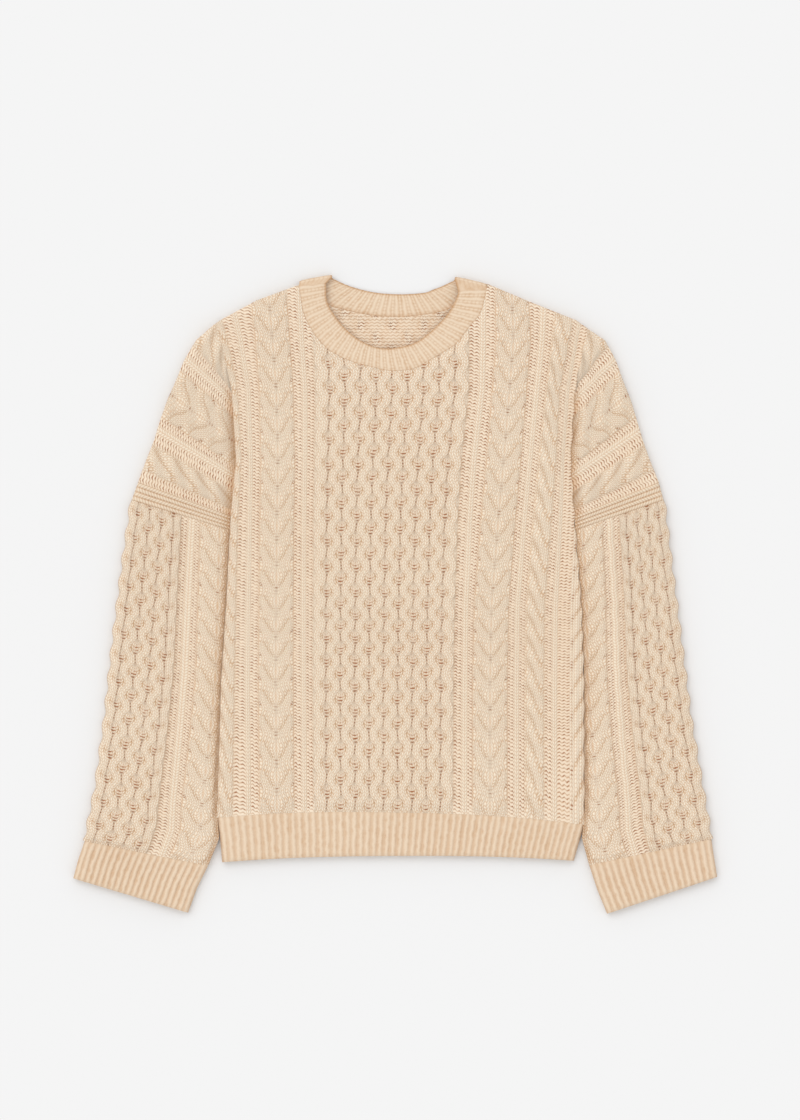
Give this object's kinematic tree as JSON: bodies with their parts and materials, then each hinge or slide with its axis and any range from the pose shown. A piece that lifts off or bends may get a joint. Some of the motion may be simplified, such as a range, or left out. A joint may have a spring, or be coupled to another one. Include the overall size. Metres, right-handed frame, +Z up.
{
  "type": "cable knit sweater",
  "caption": "Boxy crew neck sweater laid flat, with dropped shoulders, honeycomb, staghorn and rope cables, and ribbed hem, cuffs and neckband.",
  "frame": {"origin": "centre of the bounding box in X and Y, on the surface that the sweater lies on", "axes": "+Y from the hem to the neck, +Z up from the surface through the cloth, +X to the right of someone who looks down on the front"},
  "size_m": [0.6832, 0.6782, 0.0136],
  "materials": {
    "yarn": "matt cable knit",
    "rib_yarn": "matt ribbed knit"
  },
  "bodies": {
    "root": {"front": "yarn", "back": "yarn", "arm_band_left": "rib_yarn", "arm_band_right": "rib_yarn", "sleeve_left": "yarn", "sleeve_right": "yarn", "cuff_left": "rib_yarn", "cuff_right": "rib_yarn", "hem": "rib_yarn", "neckband": "rib_yarn"}
  },
  "joints": []
}
